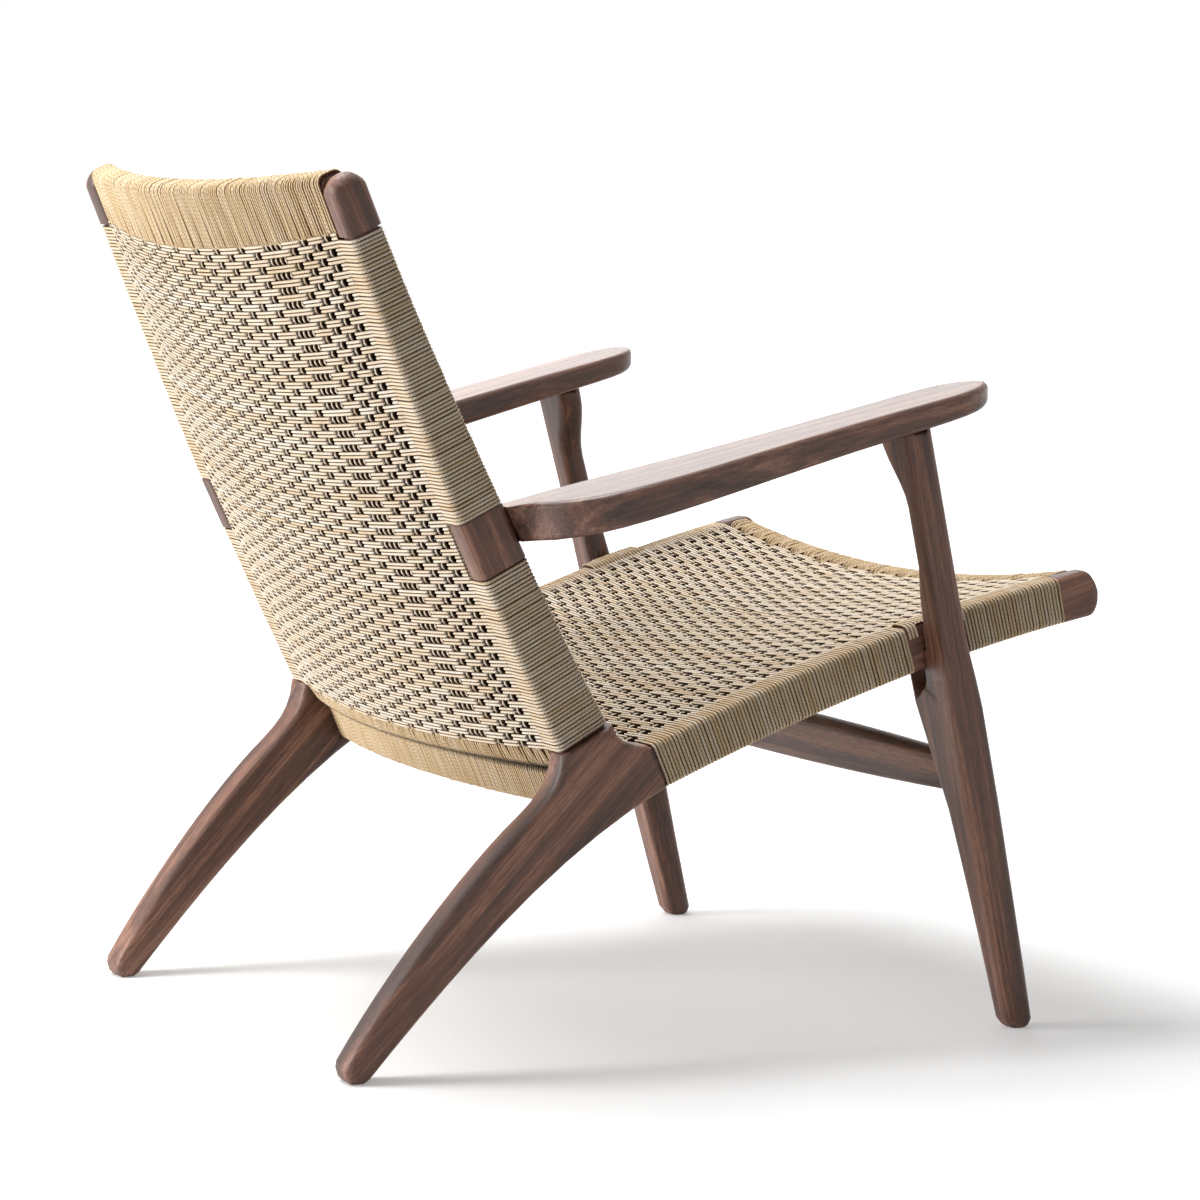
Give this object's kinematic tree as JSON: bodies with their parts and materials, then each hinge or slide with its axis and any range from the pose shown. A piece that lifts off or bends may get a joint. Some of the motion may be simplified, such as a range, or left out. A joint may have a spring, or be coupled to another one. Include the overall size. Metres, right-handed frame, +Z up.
{
  "type": "lounge armchair",
  "caption": "Low wooden lounge armchair: a shaped walnut frame with forked front legs and raked arms, its seat and back wound and woven in paper cord.",
  "frame": {"origin": "on the floor, below the middle of the chair's box", "axes": "+Z up, the sitter faces -Y, +X towards the sitter's left"},
  "size_m": [0.714, 0.7259, 0.7311],
  "materials": {
    "walnut": "oiled walnut, satin",
    "dowel": "turned maple, raw",
    "paper_cord": "twisted natural paper cord"
  },
  "bodies": {
    "root": {"rear_leg_left": "walnut", "rear_leg_right": "walnut", "front_leg_left": "walnut", "front_leg_right": "walnut", "seat_side_rail_left": "walnut", "seat_side_rail_right": "walnut", "seat_front_rail": "walnut", "seat_rear_rail": "walnut", "back_post_left": "walnut", "back_post_right": "walnut", "back_top_rail": "walnut", "back_bottom_rail": "walnut", "front_stretcher": "walnut", "armrest_left": "walnut", "armrest_right": "walnut", "side_rail_dowels": "dowel", "post_foot_dowels": "dowel", "rear_rail_dowels": "dowel", "front_rail_dowels": "dowel", "bottom_rail_dowels": "dowel", "top_rail_dowels": "dowel", "armrest_dowels": "dowel", "fork_dowels": "dowel", "seat_weave_top": "paper_cord", "seat_weave_bottom": "paper_cord", "seat_rail_wrap_left": "paper_cord", "seat_rail_wrap_right": "paper_cord", "front_rail_wrap": "paper_cord", "rear_rail_wrap": "paper_cord", "back_weave_front": "paper_cord", "back_weave_rear": "paper_cord", "post_wrap_left": "paper_cord", "post_wrap_right": "paper_cord", "top_rail_wrap": "paper_cord", "bottom_rail_wrap": "paper_cord"}
  },
  "joints": []
}
